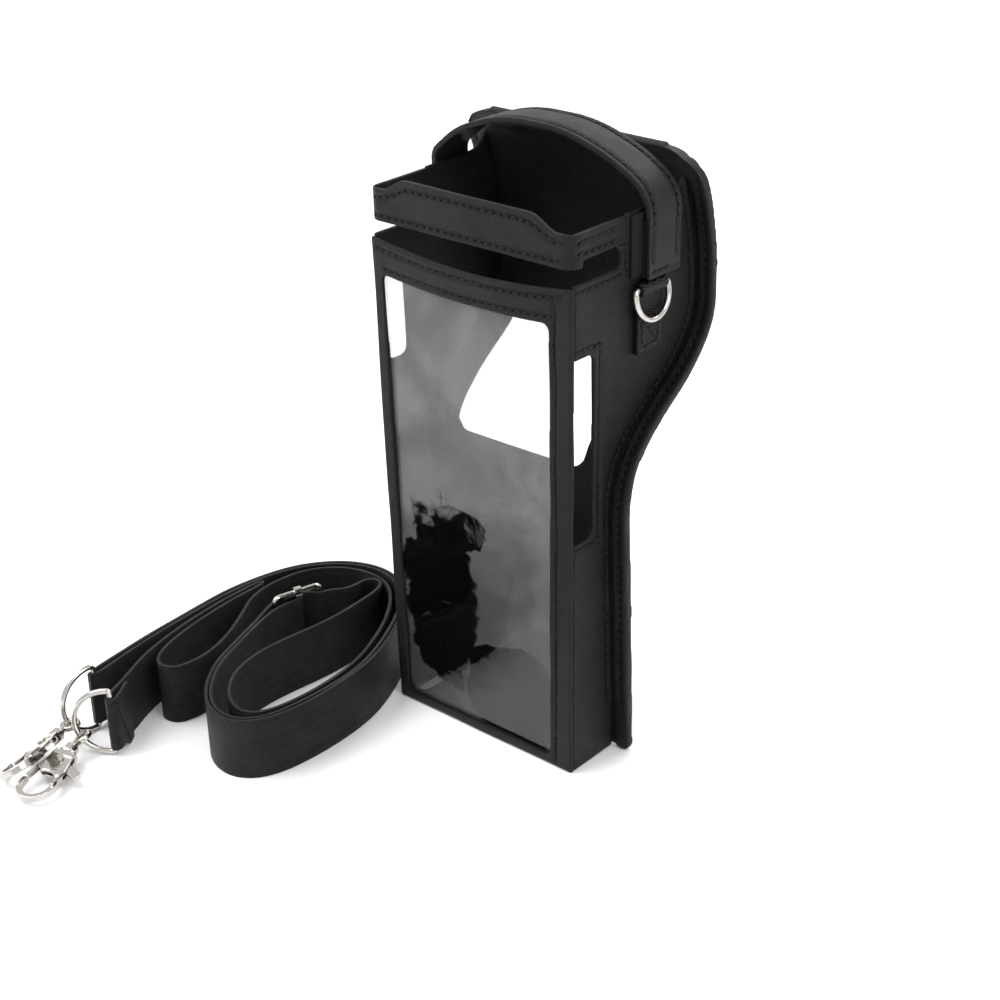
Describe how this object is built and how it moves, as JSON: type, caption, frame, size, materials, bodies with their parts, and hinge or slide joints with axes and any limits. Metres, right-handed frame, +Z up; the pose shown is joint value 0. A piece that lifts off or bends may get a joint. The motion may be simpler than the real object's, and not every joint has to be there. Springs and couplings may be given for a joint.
{
  "type": "handheld device carrying case",
  "caption": "Black leather carrying case with a clear front, a paper gap, a lift-over handle strap and side rings, and a loose webbing shoulder strap with swivel hooks.",
  "frame": {"origin": "centre of the case's foot, on the surface it stands on", "axes": "+Z up the case, the clear front faces -Y, +X to the right seen from the front"},
  "size_m": [0.1826, 0.2157, 0.2317],
  "materials": {
    "leather": "fine grained black artificial leather",
    "binding": "folded black leather edge",
    "clear_film": "clear soft plastic sheet",
    "velcro": "hook and loop tape",
    "webbing": "ribbed polyester webbing",
    "plated_steel": "bright nickel plate"
  },
  "bodies": {
    "case": {"front_frame": "leather", "clear_window": "clear_film", "side_panel_left": "leather", "side_panel_right": "leather", "back_panel": "leather", "bottom_panel": "leather", "collar_band": "leather", "edge_binding": "binding", "velcro_loop": "velcro", "handle_tail": "leather", "ring_tab_left": "webbing", "ring_tab_right": "webbing"},
    "handle": {"handle_strap": "leather", "velcro_hook": "velcro"},
    "ring_left": {"d_ring_left": "plated_steel"},
    "ring_right": {"d_ring_right": "plated_steel"},
    "strap": {"shoulder_strap": "webbing", "slider_frame": "plated_steel", "slider_bar": "plated_steel"},
    "end_ring_a": {"strap_ring_a": "plated_steel"},
    "end_ring_b": {"strap_ring_b": "plated_steel"},
    "eye_a": {"swivel_eye_a": "plated_steel"},
    "eye_b": {"swivel_eye_b": "plated_steel"},
    "hook_a": {"hook_body_a": "plated_steel", "gate_pin_a": "plated_steel"},
    "hook_b": {"hook_body_b": "plated_steel", "gate_pin_b": "plated_steel"},
    "gate_a": {"gate_lever_a": "plated_steel"},
    "gate_b": {"gate_lever_b": "plated_steel"}
  },
  "joints": [
    {"name": "handle_lift", "type": "hinge", "parent": "case", "child": "handle", "pos_m": [-0.04805, 0, 0.2071], "axis": [0, -1, 0], "range_deg": [0, 110]},
    {"name": "ring_swing_left", "type": "hinge", "parent": "case", "child": "ring_left", "pos_m": [-0.04887, 0.0273, 0.18155], "axis": [0, 1, 0], "range_deg": [0, 95]},
    {"name": "ring_swing_right", "type": "hinge", "parent": "case", "child": "ring_right", "pos_m": [0.04887, 0.0273, 0.18155], "axis": [0, -1, 0], "range_deg": [0, 95]},
    {"name": "strap_lift", "type": "slide", "parent": "case", "child": "strap", "axis": [0, 0, 1], "range_m": [0, 0.15]},
    {"name": "end_ring_swing_a", "type": "hinge", "parent": "strap", "child": "end_ring_a", "pos_m": [-0.098, -0.112, 0.0137], "axis": [0, 0, 1], "range_deg": [0, 45]},
    {"name": "end_ring_swing_b", "type": "hinge", "parent": "strap", "child": "end_ring_b", "pos_m": [-0.118, -0.1047, 0.0137], "axis": [0, 0, -1], "range_deg": [0, 55]},
    {"name": "eye_tilt_a", "type": "hinge", "parent": "end_ring_a", "child": "eye_a", "pos_m": [-0.10784, -0.12025, 0.0072], "axis": [-0.4536, -0.2454, 0.8568], "range_deg": [0, 30]},
    {"name": "eye_tilt_b", "type": "hinge", "parent": "end_ring_b", "child": "eye_b", "pos_m": [-0.1189, -0.11751, 0.0072], "axis": [0.148, 0.0814, -0.9856], "range_deg": [0, 30]},
    {"name": "hook_swivel_a", "type": "hinge", "parent": "eye_a", "child": "hook_a", "pos_m": [-0.10784, -0.12025, 0.0072], "axis": [0.2988, -0.9476, -0.1132], "range_deg": [0, 90]},
    {"name": "hook_swivel_b", "type": "hinge", "parent": "eye_b", "child": "hook_b", "pos_m": [-0.1189, -0.11751, 0.0072], "axis": [0.1905, -0.9803, -0.0523], "range_deg": [0, 60]},
    {"name": "gate_open_a", "type": "hinge", "parent": "hook_a", "child": "gate_a", "pos_m": [-0.10294, -0.13444, 0.00549], "axis": [0.034, -0.108, 0.9936], "range_deg": [0, 16], "stiffness_Nm_per_rad": 0.02, "springref_deg": -11.46},
    {"name": "gate_open_b", "type": "hinge", "parent": "hook_b", "child": "gate_b", "pos_m": [-0.11568, -0.13226, 0.00662], "axis": [-0.5117, -0.1447, 0.8469], "range_deg": [0, 16], "stiffness_Nm_per_rad": 0.02, "springref_deg": -11.46}
  ]
}
